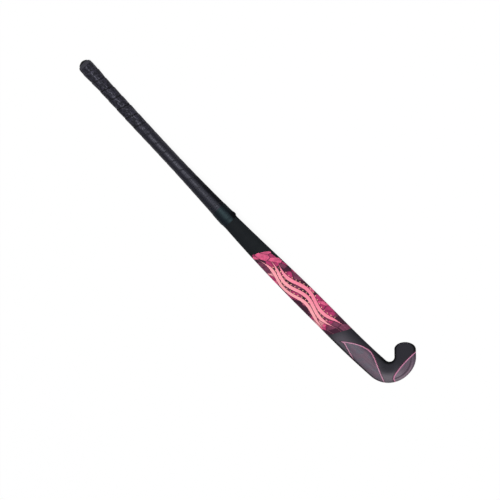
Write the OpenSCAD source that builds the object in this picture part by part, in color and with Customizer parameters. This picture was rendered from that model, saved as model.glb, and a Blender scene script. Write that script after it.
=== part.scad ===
/* [Overall] */
// Length from the butt end to the bottom of the head
stick_length = 927; // [850:1:965]
// Height of the playing face above the ground at the crest of the bow
bow = 24; // [6:0.5:25]
// Distance from the butt end to the crest of the bow
bow_crest = 475; // [420:5:580]
// How the handle rises to that crest: 1 is nearly straight, 2 is evenly curved
bow_curve = 1.4; // [1.2:0.1:2.4]
// Length of the level playing face, up from the bottom of the head
level_length = 122; // [90:2:180]

/* [Shaft] */
// Width of the bare handle
handle_width = 25; // [23:0.5:30]
// Thickness of the bare handle
handle_thickness = 22; // [20:0.5:26]
// Width of the lower shaft
blade_width = 47; // [42:0.5:51]
// Thickness of the lower shaft
blade_thickness = 21; // [18:0.5:25]
// Distance from the butt end to where the handle starts to widen
flare_start = 264; // [180:2:320]
// Length of the full-width lower shaft, up from the bottom of the head
blade_length = 242; // [180:2:300]
// Distance from the butt end to where the playing face is fully flat
face_full = 525; // [450:5:600]
// How far each rounded edge of the playing face reaches in from the side
edge_run = 8; // [6:0.5:10]
// Height of the widest point of the lower shaft above its playing face
edge_height = 10; // [8:0.5:11]

/* [Head] */
// Radius of the inside of the crook
crook_radius = 11; // [9:0.5:18]
// Angle through which the head turns
head_turn = 137; // [125:1:145]
// Sideways lead of the shaft into the bend
head_lead = 6; // [0:0.5:10]
// Length over which that lead builds up
lead_length = 128; // [90:2:160]
// Width of the head where the bend starts
bend_width = 46; // [42:0.5:50]
// Width of the head at the bottom of the bend
bottom_width = 42.5; // [38:0.5:48]
// Width of the toe
toe_width = 44.5; // [40:0.5:48]
// Thickness of the head where the bend starts
head_thickness = 20; // [18:0.5:24]
// Thickness of the toe
toe_thickness = 18; // [16.5:0.5:22]
// Straight length of the toe past the bend
toe_straight = 15.5; // [8:0.5:20]
// Depth of the rounded end of the toe
toe_end = 15; // [12:0.5:22]

/* [Laminate and core] */
// Wall of the outer laminate
shell_wall = 2.6; // [2:0.1:3.2]
// Wall of each of the two inner tubes
tube_wall = 1.4; // [1:0.1:2]
// Thickness of the woven sock round the head core
sock_wall = 0.8; // [0.5:0.1:1.2]
// Glue line between neighbouring layers
bond = 0.1; // [0.08:0.01:0.15]
// Length of the foam core, up from the bottom of the head
core_length = 157; // [120:1:200]
// Length of the foam damper in the handle end of each tube
damper_length = 260; // [150:5:350]

/* [Butt] */
// Depth of the domed end of the butt cap
cap_dome = 13; // [9:0.5:18]
// Length of the cap's spigot inside the laminate
cap_spigot = 28; // [15:1:40]
// Clearance of the spigot in the laminate
cap_fit = 0.15; // [0.1:0.05:0.3]
// Thickness of the build-up ring under the grip
build_up = 1.5; // [0.8:0.1:2.5]
// Length of the build-up ring at its full thickness
build_up_full = 14; // [8:1:30]
// Length over which the build-up ring tapers away
build_up_taper = 36; // [20:1:60]

/* [Grip] */
// Distance from the butt end to the lower end of the grip
grip_end = 437; // [350:1:470]
// Thickness of the cushion layer under the grip tape
underlay = 0.4; // [0.3:0.05:0.8]
// Thickness of the grip tape
tape_thickness = 0.7; // [0.5:0.05:1.2]
// Advance of the grip tape in one turn
tape_pitch = 25; // [21:0.5:32]
// Gap between neighbouring turns of the grip tape
tape_gap = 0.6; // [0.5:0.05:1]
// Width of the rounded shoulder along each edge of the grip tape
tape_shoulder = 3; // [1.5:0.1:5]
// Overlap of the finishing tape on the grip
finish_overlap = 24; // [12:1:40]
// Landing of the finishing tape on the bare shaft
finish_landing = 9; // [6:0.5:16]
// Thickness of the finishing tape
finish_thickness = 0.3; // [0.2:0.05:0.6]

/* [Hidden] */

// Points round a section: a back half in even steps, two rounded edges and a flat
ring_points = 24;
half_points = ring_points / 2;
edge_steps = 5;
back_middle = ring_points / 4;
face_middle = 3 * ring_points / 4;

// Steps along the stick
shaft_step = 40;
shortest_step = 6;
bend_steps = 9;
toe_bend_steps = 5;
toe_tips = [20, 38, 54, 68, 80];
dome_angles = [18, 36, 54, 72, 90];

// Places along the shaft and round the head
level_x = stick_length - level_length;
flare_end = stick_length - blade_length;
core_x = stick_length - core_length;
bend_x = stick_length - crook_radius - bottom_width;
bend_radius = crook_radius + bend_width / 2;
lead_turn = atan(2 * head_lead / lead_length);
lead_end = bend_x + bend_radius * sin(lead_turn);
bend_y = head_lead + bend_radius * cos(lead_turn);
toe_root = [
    bend_x + (crook_radius + toe_width / 2) * sin(head_turn),
    bend_y - (crook_radius + toe_width / 2) * cos(head_turn)
];

// Layers from the outside in, and places of the layers wound on the handle
tube_inset = shell_wall + bond;
damper_inset = tube_inset + tube_wall + bond;
core_inset = tube_inset + sock_wall + bond;
layers_x = cap_dome + bond;
tube_x = cap_dome + cap_spigot + bond;
build_up_end = layers_x + build_up_full + build_up_taper;
tape_width = tape_pitch - tape_gap;
tape_edge = tape_thickness / 2;
tape_relief = 0.4;
tape_sliver = 1;
spigot_draft = 0.3;
finish_ramp = 3;

function mix(a, b, t) = a + (b - a) * t;
function unit(a, b, x) = max(0, min(1, (x - a) / (b - a)));
function smooth(a, b, x) =
    let (t = unit(a, b, x))
    t * t * (3 - 2 * t);

// Height of each wound layer above the bare handle at a distance from the butt
function build_out(x) = build_up * (1 - unit(layers_x + build_up_full, build_up_end, x));
function underlay_out(x) = build_out(x) + 2 * bond;
function tape_out(x) = underlay_out(x) + underlay + bond;
function grip_out(x) = tape_out(x) + tape_thickness;

// The bow lifts the face, and the butt is set so that its widest ring meets the ground
crest_share = 1 - pow(1 - cap_dome / bow_crest, bow_curve);
butt_lift = (grip_out(cap_dome) - bow * crest_share) / (1 - crest_share);
function lift(x) =
    x < bow_crest
        ? mix(butt_lift, bow, 1 - pow(1 - x / bow_crest, bow_curve))
        : bow * (1 - smooth(bow_crest, level_x, x));

// A station is [x, y, heading, width, thickness, lift, flatness of the face, toe tip angle]
function shaft_station(x) =
    let (
        spread = smooth(flare_start, flare_end, x),
        lead = unit(lead_end - lead_length, lead_end, x),
        near_head = smooth(0, 1, lead),
        heading = atan(2 * head_lead * lead / lead_length),
        width = mix(mix(handle_width, blade_width, spread), bend_width, near_head),
        thickness = mix(mix(handle_thickness, blade_thickness, spread), head_thickness, near_head),
        flatness = smooth(flare_start, face_full, x)
    )
    [x, head_lead * lead * lead, heading, width, thickness, lift(x), flatness, 0];

function bend_station(turn) =
    let (
        narrowing = mix(bend_width, bottom_width, smooth(lead_turn, 90, turn)),
        width = mix(narrowing, toe_width, smooth(90, head_turn, turn)),
        radius = crook_radius + width / 2,
        thickness = mix(head_thickness, toe_thickness, smooth(lead_turn, head_turn, turn))
    )
    [bend_x + radius * sin(turn), bend_y - radius * cos(turn), turn, width, thickness, 0, 1, 0];

function toe_station(tip) =
    [
        toe_root[0] + toe_straight * cos(head_turn),
        toe_root[1] + toe_straight * sin(head_turn),
        head_turn, toe_width, toe_thickness, 0, 1, tip
    ];

// One point of a section, as [sideways, up] from the section's own middle line
function section_point(s, inset, j) =
    let (
        shrink = cos(s[7]),
        half = (s[3] / 2 - inset) * shrink,
        run = min(edge_run - inset, half * 0.8),
        to_tip = (toe_end - inset) * (1 - sin(s[7])),
        curl = s[7] == 0 ? 0 : max(0, 1 - to_tip / (edge_run - inset)),
        bottom = mix(inset, edge_height, 1 - sqrt(1 - curl * curl)),
        top = mix(edge_height, s[4] - inset, shrink),
        middle = (top + bottom) / 2,
        turn = 360 * j / ring_points,
        oval = [half * cos(turn), middle + (top - middle) * sin(turn)],
        k = (j - half_points) * 90 / edge_steps,
        m = (ring_points - j) * 90 / edge_steps,
        crown = [half * cos(turn), edge_height + (top - edge_height) * sin(turn)],
        heel_edge = [-(half - run) - run * cos(k), mix(edge_height, bottom, sin(k))],
        toe_edge = [(half - run) + run * cos(m), mix(edge_height, bottom, sin(m))],
        flat = [0, bottom],
        dee = j <= half_points ? crown
            : j <= half_points + edge_steps ? heel_edge
            : j < ring_points - edge_steps ? flat
            : toe_edge
    )
    mix(oval, dee, s[6]);

// A section's point in space: the toe's tip rings also move on along the toe
function placed(s, inset, point) =
    let (on = (toe_end - inset) * sin(s[7]))
    [
        s[0] + on * cos(s[2]) - point[0] * sin(s[2]),
        s[1] + on * sin(s[2]) + point[0] * cos(s[2]),
        s[5] + point[1]
    ];

function ring(s, inset) =
    [for (j = [0:ring_points - 1]) placed(s, inset, section_point(s, inset, j))];

// The toe side (1) or heel side (-1) half of a section, closed by a straight web
function half_ring(s, inset, side, web) =
    let (first = side > 0 ? face_middle : back_middle)
    [
        for (i = [0:half_points])
            let (p = section_point(s, inset, (first + i) % ring_points))
            placed(s, inset, [side * max(side * p[0], web), p[1]])
    ];

function toe_point(inset) = placed(toe_station(90), inset, [0, edge_height]);
function centre(points) = [for (p = points) 1] * points / len(points);
function backwards(list) = [for (i = [len(list) - 1:-1:0]) list[i]];

// Distances from the butt at which a piece of the shaft has its rings
function cuts(from, to) =
    concat(
        [from],
        [
            for (x = [shaft_step:shaft_step:stick_length])
                if (x > from + shortest_step && x < to - shortest_step) x
        ],
        [to]
    );

// Stations from a place on the shaft to the end of the toe
function head_stations(from) =
    concat(
        [for (x = cuts(from, lead_end)) shaft_station(x)],
        [for (i = [1:bend_steps]) bend_station(mix(lead_turn, 90, i / bend_steps))],
        [for (i = [1:toe_bend_steps]) bend_station(mix(90, head_turn, i / toe_bend_steps))],
        [toe_station(0)],
        [for (tip = toe_tips) toe_station(tip)]
    );

// Side faces between rings that follow each other, each a clockwise loop seen from behind
function side_faces(count, sides, closed) =
    [
        for (i = [0:closed ? count - 1 : count - 2], j = [0:sides - 1], upper = [false, true])
            let (
                a = i * sides + j,
                b = i * sides + (j + 1) % sides,
                c = ((i + 1) % count) * sides + j,
                d = ((i + 1) % count) * sides + (j + 1) % sides
            )
            upper ? [a, d, b] : [a, c, d]
    ];

function flatten(rings) = [for (r = rings, p = r) p];

// A solid whose rings lead from one end point to another
module capped(first, rings, last) {
    count = len(rings);
    sides = len(rings[0]);
    start = count * sides;
    polyhedron(
        concat(flatten(rings), [first, last]),
        concat(
            side_faces(count, sides, false),
            [for (j = [0:sides - 1]) [start, j, (j + 1) % sides]],
            [
                for (j = [0:sides - 1])
                    [start + 1, (count - 1) * sides + (j + 1) % sides, (count - 1) * sides + j]
            ]
        ),
        convexity = 8
    );
}

// A solid whose last ring leads back to its first
module looped(rings) {
    polyhedron(flatten(rings), side_faces(len(rings), len(rings[0]), true), convexity = 8);
}

// A band round the handle, from a closed outline of [distance from the butt, height] pairs
module band(outline) {
    looped([for (p = outline) ring(shaft_station(p[0]), -p[1])]);
}

// A skin of the head from a place on the shaft, open there and closed at the toe
module head_skin(from, outer, inner) {
    stations = head_stations(from);
    rings = concat(
        backwards([for (s = stations) ring(s, inner)]),
        [for (s = stations) ring(s, outer)]
    );
    capped(toe_point(inner), rings, toe_point(outer));
}

module composite_shell() {
    color([0.07, 0.07, 0.08]) head_skin(layers_x, 0, shell_wall);
}

module side_tube(side) {
    stations = [for (x = cuts(tube_x, core_x - bond)) shaft_station(x)];
    outside = [for (s = stations) half_ring(s, tube_inset, side, bond / 2)];
    bore = [for (s = stations) half_ring(s, tube_inset + tube_wall, side, bond / 2 + tube_wall)];
    color([0.2, 0.2, 0.22]) looped(concat(outside, backwards(bore)));
}

module toe_side_tube() { side_tube(1); }

module heel_side_tube() { side_tube(-1); }

module side_damper(side) {
    web = bond / 2 + tube_wall + bond;
    rings = [
        for (x = cuts(tube_x, tube_x + damper_length))
            half_ring(shaft_station(x), damper_inset, side, web)
    ];
    color([0.86, 0.8, 0.55]) capped(centre(rings[0]), rings, centre(rings[len(rings) - 1]));
}

module toe_side_damper() { side_damper(1); }

module heel_side_damper() { side_damper(-1); }

module head_core() {
    rings = [for (s = head_stations(core_x)) ring(s, core_inset)];
    color([0.9, 0.84, 0.6]) capped(centre(rings[0]), rings, toe_point(core_inset));
}

module head_sock() {
    color([0.75, 0.62, 0.2]) head_skin(core_x, tube_inset, tube_inset + sock_wall);
}

// A ring of the cap's dome, shrunk about the middle of the handle
function dome_ring(angle) =
    let (
        s = shaft_station(cap_dome * (1 - cos(angle))),
        middle = s[4] / 2
    )
    [
        for (j = [0:ring_points - 1])
            let (p = section_point(s, -grip_out(cap_dome), j))
            placed(s, 0, [p[0] * sin(angle), mix(middle, p[1], sin(angle))])
    ];

module butt_cap() {
    spigot_inset = shell_wall + cap_fit;
    spigot_end = shaft_station(cap_dome + cap_spigot);
    rings = concat(
        [for (angle = dome_angles) dome_ring(angle)],
        [ring(shaft_station(cap_dome), spigot_inset), ring(spigot_end, spigot_inset + spigot_draft)]
    );
    tip = [0, 0, butt_lift + handle_thickness / 2];
    color([0.1, 0.1, 0.1]) capped(tip, rings, centre(rings[len(rings) - 1]));
}

module butt_build_up() {
    full_x = layers_x + build_up_full;
    color([0.3, 0.3, 0.3])
        band([
            [layers_x, bond], [full_x, bond], [build_up_end, bond],
            [full_x, bond + build_out(full_x)], [layers_x, bond + build_out(layers_x)]
        ]);
}

module grip_underlay() {
    places = concat(
        [layers_x, layers_x + build_up_full, build_up_end],
        [for (x = cuts(build_up_end, grip_end)) if (x > build_up_end) x]
    );
    color([0.2, 0.2, 0.2])
        band(concat(
            [for (x = places) [x, underlay_out(x)]],
            [for (x = backwards(places)) [x, underlay_out(x) + underlay]]
        ));
}

// The tape is wound with its far edge ahead, and its ends are cut square to the handle
tape_first = layers_x + tape_sliver - tape_width / 2;
tape_rings = floor((grip_end - layers_x + tape_width - 2 * tape_sliver) / tape_pitch * ring_points);

function tape_point(i, x, up) =
    let (j = (face_middle + ring_points * 100 - i) % ring_points, out = tape_out(x) + up)
    placed(shaft_station(x), 0, section_point(shaft_station(x), -out, j));

function tape_section(i) =
    let (
        middle = tape_first + tape_pitch * i / ring_points,
        near = max(layers_x, middle - tape_width / 2),
        far = min(grip_end, middle + tape_width / 2),
        share = (far - near) / tape_width,
        relief = tape_relief * share,
        shoulder = tape_shoulder * share
    )
    [
        tape_point(i, near + relief, 0),
        tape_point(i, near, tape_edge),
        tape_point(i, near + shoulder, tape_thickness),
        tape_point(i, far - shoulder, tape_thickness),
        tape_point(i, far, tape_edge),
        tape_point(i, far - relief, 0)
    ];

module grip_tape() {
    rings = [for (i = [0:tape_rings]) tape_section(i)];
    gaps = [
        for (i = [0:tape_rings - ring_points - 1], k = [-1:1], p = [3:5], q = [0:2])
            norm(rings[i][p] - rings[i + ring_points + k][q])
    ];
    echo(least_gap_of_grip_tape = min(gaps));
    color([0.16, 0.16, 0.17]) capped(centre(rings[0]), rings, centre(rings[tape_rings]));
}

module finishing_tape() {
    start = grip_end - finish_overlap;
    step = grip_end + bond;
    foot = step + finish_ramp;
    end = foot + finish_landing;
    over = grip_out(grip_end) + bond;
    color([0.05, 0.06, 0.06])
        band([
            [start, over], [step, over], [foot, bond], [end, bond],
            [end, bond + finish_thickness], [foot, bond + finish_thickness],
            [step, over + finish_thickness], [start, over + finish_thickness]
        ]);
}

// The origin is under the middle of the stick's box, on the ground
shell_y = [for (s = head_stations(layers_x), p = ring(s, 0)) p[1]];
box_middle = [stick_length / 2, (min(shell_y) + max(shell_y)) / 2, 0];

module at_origin() { translate(-box_middle) children(); }

at_origin() composite_shell();
at_origin() toe_side_tube();
at_origin() heel_side_tube();
at_origin() head_core();
at_origin() head_sock();
at_origin() toe_side_damper();
at_origin() heel_side_damper();
at_origin() butt_cap();
at_origin() butt_build_up();
at_origin() grip_underlay();
at_origin() grip_tape();
at_origin() finishing_tape();
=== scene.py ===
import math
from collections import namedtuple
from functools import reduce

import bpy
import numpy as np
from bpy.props import FloatProperty, FloatVectorProperty, IntProperty, PointerProperty
from mathutils import Matrix, Vector


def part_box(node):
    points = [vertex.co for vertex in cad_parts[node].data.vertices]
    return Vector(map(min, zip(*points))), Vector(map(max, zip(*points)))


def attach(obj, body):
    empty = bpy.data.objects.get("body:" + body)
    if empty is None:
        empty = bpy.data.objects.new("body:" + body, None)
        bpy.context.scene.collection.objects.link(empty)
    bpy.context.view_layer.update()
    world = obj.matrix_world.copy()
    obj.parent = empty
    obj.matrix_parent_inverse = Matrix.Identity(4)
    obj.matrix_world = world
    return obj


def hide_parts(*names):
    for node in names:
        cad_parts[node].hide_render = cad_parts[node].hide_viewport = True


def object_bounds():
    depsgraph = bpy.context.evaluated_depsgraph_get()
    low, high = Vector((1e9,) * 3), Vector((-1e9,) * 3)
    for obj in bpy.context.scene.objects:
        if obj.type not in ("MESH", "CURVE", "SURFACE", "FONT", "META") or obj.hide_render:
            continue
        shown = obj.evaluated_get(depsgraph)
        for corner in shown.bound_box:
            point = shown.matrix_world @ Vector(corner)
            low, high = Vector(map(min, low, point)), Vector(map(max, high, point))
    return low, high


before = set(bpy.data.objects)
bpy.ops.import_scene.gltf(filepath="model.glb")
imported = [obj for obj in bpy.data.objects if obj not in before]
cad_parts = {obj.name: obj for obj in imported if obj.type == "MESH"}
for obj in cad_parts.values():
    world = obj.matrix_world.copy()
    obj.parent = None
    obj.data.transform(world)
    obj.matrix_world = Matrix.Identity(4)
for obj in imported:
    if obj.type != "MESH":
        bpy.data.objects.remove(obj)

bl_info = {
    "name": "Field hockey stick",
    "version": (1, 0, 0),
    "blender": (4, 5, 0),
    "location": "3D View > Sidebar > Hockey stick",
    "description": "Dresses a field hockey stick: printed laminate, wound grip, tapes and a studio",
    "category": "Mesh",
}

MM = 0.001
CAD_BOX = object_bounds()
CAP_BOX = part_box("butt_cap")

# Middle of the butt's end on the ground: places along and across the stick count from here
BUTT = Vector((CAD_BOX[0].x, (CAP_BOX[0].y + CAP_BOX[1].y) / 2, 0))

# Shares of the way round a section: 0 is the toe side, then back, heel side and face
HEEL_SIDE = 0.5
FACE_MIDDLE = 0.75

# Share of the way round that a rounded edge of the face takes, and its most of the half width
EDGE_SHARE = 5 / 24
EDGE_MOST = 0.8

# How finely the pieces are meshed
RING_POINTS = 96
SHAFT_STEP = 5 * MM
BEND_STEP = math.radians(2.5)
TOE_STEPS = 4
TIP_STEPS = 16
DOME_STEPS = 18
BAND_STEPS = 40
TAPE_STEPS = 72
TAPE_POINTS = 15
SHARP_ANGLE = math.radians(50)

# Places of a ring's points, from the middle of the face by the toe side, with and without the last
AROUND = FACE_MIDDLE + np.arange(RING_POINTS + 1) / RING_POINTS
RING = AROUND[:-1]

# Way round the wound handle by which its pieces are mapped, in millimetres
HANDLE_GIRTH = 85


def shown(red, green, blue):
    """Linear values of a colour that is given as it shows on a screen, each part 0 to 255."""
    parts = [part / 255 for part in (red, green, blue)]
    return tuple(p / 12.92 if p <= 0.04045 else ((p + 0.055) / 1.055) ** 2.4 for p in parts)


def length(name, millimetres, description):
    """A length property, with its default in millimetres."""
    default = millimetres * MM
    return FloatProperty(name=name, description=description, default=default, min=0, unit="LENGTH")


def angle(name, degrees, description):
    """An angle property, with its default in degrees."""
    default = math.radians(degrees)
    return FloatProperty(name=name, description=description, default=default, subtype="ANGLE")


def number(name, default, description, least=0):
    """A plain number property."""
    return FloatProperty(name=name, description=description, default=default, min=least)


def colour(name, screen, description):
    """A colour property, with its default as it shows on a screen."""
    return FloatVectorProperty(
        name=name, description=description, default=shown(*screen),
        size=3, min=0, max=1, subtype="COLOR",
    )


class StickSizes(bpy.types.PropertyGroup):
    """Sizes of the laminate: shaft, bow and head."""

    stick_length: length("Length", (CAD_BOX[1].x - CAD_BOX[0].x) / MM, "Butt end to bottom of the head")
    bow: length("Bow", 24, "Height of the playing face above the ground at the crest of the bow")
    bow_crest: length("Bow crest", 475, "Butt end to the crest of the bow")
    bow_curve: number("Bow curve", 1.4, "Rise to the crest: 1 is straight, 2 is evenly curved", 1)
    level_length: length("Level face", 122, "Level playing face, up from the bottom of the head")
    handle_width: length("Handle width", 25, "Width of the bare handle")
    handle_thickness: length("Handle thickness", 22, "Thickness of the bare handle")
    blade_width: length("Lower width", 47, "Width of the lower shaft")
    blade_thickness: length("Lower thickness", 21, "Thickness of the lower shaft")
    flare_start: length("Flare start", 264, "Butt end to where the handle starts to widen")
    blade_length: length("Lower length", 242, "Full-width lower shaft, up from the bottom of the head")
    face_full: length("Flat face", 525, "Butt end to where the playing face is fully flat")
    edge_run: length("Edge run", 8, "How far each rounded edge of the face reaches in from the side")
    edge_height: length("Edge height", 10, "Height of the widest point above the playing face")
    crook_radius: length("Crook radius", 11, "Radius of the inside of the crook")
    head_turn: angle("Head turn", 137, "Angle through which the head turns")
    head_lead: length("Head lead", 6, "Sideways lead of the shaft into the bend")
    lead_length: length("Lead length", 128, "Length over which that lead builds up")
    bend_width: length("Bend width", 46, "Width of the head where the bend starts")
    bottom_width: length("Bottom width", 42.5, "Width of the head at the bottom of the bend")
    toe_width: length("Toe width", 44.5, "Width of the toe")
    head_thickness: length("Head thickness", 20, "Thickness where the bend starts")
    toe_thickness: length("Toe thickness", 18, "Thickness of the toe")
    toe_straight: length("Toe straight", 15.5, "Straight length of the toe past the bend")
    toe_end: length("Toe end", 15, "Depth of the rounded end of the toe")
    shell_wall: length("Wall", 2.6, "Wall of the laminate")


class GripSizes(bpy.types.PropertyGroup):
    """Sizes of the butt cap and of the layers wound on the handle."""

    bond: length("Glue line", 0.1, "Glue line between neighbouring layers")
    cap_dome: length("Cap dome", 13, "Depth of the domed end of the butt cap")
    cap_lip: length("Cap lip", 8.4, "Length of the lip between the dome and the grip")
    cap_groove: length("Cap groove", 0.9, "Depth of the groove between the dome and the lip")
    cap_spigot: length("Cap spigot", 28, "Length of the cap's spigot inside the laminate")
    cap_fit: length("Cap fit", 0.15, "Clearance of the spigot in the laminate")
    build_up: length("Build-up", 1.5, "Thickness of the build-up ring under the grip")
    build_up_full: length("Build-up length", 14, "Length of the build-up ring at full thickness")
    build_up_taper: length("Build-up taper", 36, "Length over which the ring tapers away")
    grip_end: length("Grip end", 437, "Butt end to the lower end of the grip")
    underlay: length("Underlay", 0.4, "Thickness of the cushion layer under the tape")
    tape_thickness: length("Tape thickness", 0.7, "Thickness of the grip tape")
    tape_pitch: length("Tape pitch", 25, "Advance of the grip tape in one turn")
    tape_gap: length("Tape gap", 0.6, "Gap between neighbouring turns of the tape")
    tape_lap: length("Tape lap", 0.8, "Most that the upper edge of a turn stands up")
    finish_overlap: length("Band overlap", 24, "Overlap of the finishing tape on the grip")
    finish_ramp: length("Band ramp", 10, "Run of the finishing tape down from the grip to the shaft")
    finish_landing: length("Band landing", 2.5, "Landing of the finishing tape on the bare shaft")
    finish_thickness: length("Band thickness", 0.3, "Thickness of the finishing tape")
    finish_lump: length("Band lump", 2.7, "Height of the tape's bunched end on the toe side")


class PrintSettings(bpy.types.PropertyGroup):
    """Colours and places of the print on the laminate."""

    lacquer: colour("Lacquer", (24, 27, 30), "Black lacquer of the bare shaft")
    # Painted shade along the rounded edges of the head
    rim_shade: colour("Edge black", (7, 8, 10), "Blackest lacquer, along the edges of the head")
    charcoal: colour("Charcoal", (80, 76, 83), "Greyer lacquer on the outer side of the head")
    ash: colour("Ash", (103, 97, 104), "Greyest lacquer, along the bottom of the head")
    toe_black: colour("Toe black", (43, 42, 48), "Black of the toe and of the inside of the crook")
    plum_dark: colour("Dark plum", (64, 34, 50), "Darkest facets, outlines and gaps of the print")
    plum: colour("Plum", (118, 62, 86), "Main ground of the print")
    magenta: colour("Magenta", (178, 58, 106), "Strong facets of the print")
    pink: colour("Pink", (222, 94, 134), "Bright facets of the print")
    salmon: colour("Salmon", (248, 164, 172), "Wave ribbons of the print")
    rose: colour("Rose", (240, 132, 156), "Wave ribbons of the print toward the toe side")
    peach: colour("Peach", (250, 190, 158), "Small diamonds of the print")
    panel: colour("Panel", (117, 99, 111), "Fill of the leaf panel on the outer side of the head")
    panel_slate: colour("Panel slate", (107, 103, 113), "Bluer patches of the leaf panel")
    # Also used for the painted shade toward the leaf's outer edge
    panel_dark: colour("Panel streaks", (82, 71, 83), "Darker streaks and margin of the leaf panel")
    toe_panel: colour("Toe panel", (102, 88, 101), "Fill of the panel round the toe")
    toe_pale: colour("Toe pale", (138, 127, 136), "Paler lower end of the toe panel")
    toe_streak: colour("Toe streaks", (58, 44, 55), "Dark streaks of the toe panel")
    toe_stripe: colour("Toe stripe", (144, 120, 133), "Pale stripe near the edge of the toe panel")
    line: colour("Line", (196, 142, 166), "Fine line round the leaf panel")
    toe_line: colour("Toe line", (192, 126, 156), "Fine line of the toe panel")
    print_start: length("Print start", 525, "Butt end to where the print starts")
    print_end: length("Print end", 766, "Butt end to where the print ends")
    wave_length: length("Wave length", 104, "Length of one wave of the ribbons")
    wave_height: length("Wave height", 6, "Height of the waves, from their middle")
    ribbon_width: length("Ribbon width", 7.2, "Width of a ribbon at its middle")
    ribbon_step: length("Ribbon step", 11.5, "Distance between neighbouring ribbons")
    ribbon_count: IntProperty(
        name="Ribbons", description="Number of wave ribbons", default=3, min=1, max=5
    )
    line_width: length("Line width", 1.9, "Width of the fine lines round the panels")


class GripSettings(bpy.types.PropertyGroup):
    """Colours of the pieces on and in the handle, and of those inside the laminate."""

    tape: colour("Grip tape", (25, 24, 31), "Polyurethane of the grip tape")
    # Pale of the polished places, which are wear, and of the shoulders, a painted highlight
    tape_worn_and_lit: colour("Worn tape", (64, 61, 76), "Polished places and shoulders of the grip tape")
    tape_low: colour("Lower tape", (12, 14, 21), "Grip tape toward its lower end")
    # Seams and holes are darkened with this as painted shade; it also darkens the upper half's own tone
    seam: colour("Seam", (9, 9, 12), "Seams and perforations of the grip tape")
    # Painted shade: the matt black laid on the seams, the holes and the toe side of both tapes
    painted_shade: colour("Dull tape", (8, 8, 11), "Dull black of seams, holes and the toe side of the tapes")
    vinyl: colour("Finishing tape", (13, 14, 21), "Vinyl of the finishing tape")
    vinyl_sheen: colour("Stretched vinyl", (17, 20, 28), "Stretch lines of the finishing tape")
    rubber: colour("Butt cap", (8, 8, 9), "Rubber of the butt cap")
    # Painted highlight on the lip of the butt cap
    lip_highlight: colour("Cap lip", (70, 69, 77), "Lip of the butt cap, bloomed lighter")
    underlay_dark: colour("Underlay pores", (30, 30, 32), "Pores of the layers under the grip tape")
    underlay_light: colour("Underlay", (66, 66, 68), "Foam of the layers under the grip tape")
    tube_warp: colour("Tube warp", (28, 28, 31), "Darker threads of the inner tubes")
    tube_weft: colour("Tube weft", (58, 58, 63), "Lighter threads of the inner tubes")
    sock_warp: colour("Sock warp", (196, 164, 62), "Darker threads of the sock round the core")
    sock_weft: colour("Sock weft", (226, 200, 104), "Lighter threads of the sock round the core")
    core_dark: colour("Core pores", (176, 154, 98), "Pores of the head's foam core")
    core_light: colour("Core", (232, 214, 160), "Foam of the head's core")
    damper_dark: colour("Damper pores", (170, 152, 106), "Pores of the foam dampers")
    damper_light: colour("Damper", (222, 206, 158), "Foam of the dampers")


class StageSettings(bpy.types.PropertyGroup):
    """Camera, lamp, sky and floor."""

    tilt: angle("Tilt", 15, "Tilt of the view from straight above, toward the toe side")
    roll: angle("Roll", 46.38, "Angle of the stick below level in the picture")
    view_width: length("View width", 1026.3, "Width of the picture at the stick")
    lens: number("Lens", 200, "Focal length in mm", 50)
    key_watts: number("Key lamp", 420, "Power of the large soft lamp")
    sky: colour("Sky", (98, 100, 104), "Sky above the horizon")
    floor: colour("Floor", (250, 250, 250), "Floor of the studio")
    floor_dust: colour("Dust", (246, 246, 246), "Dusty places of the floor")


def unit(low, high, x):
    """Where x lies between low and high, from 0 to 1."""
    return min(1.0, max(0.0, (x - low) / (high - low)))


def smooth(low, high, x):
    """A smooth rise from 0 at low to 1 at high."""
    t = unit(low, high, x)
    return t * t * (3 - 2 * t)


def mix(first, second, share):
    """The value that lies a share of the way from the first to the second."""
    return first + (second - first) * share


Station = namedtuple("Station", "x y heading width thickness lift flatness tip")


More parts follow.
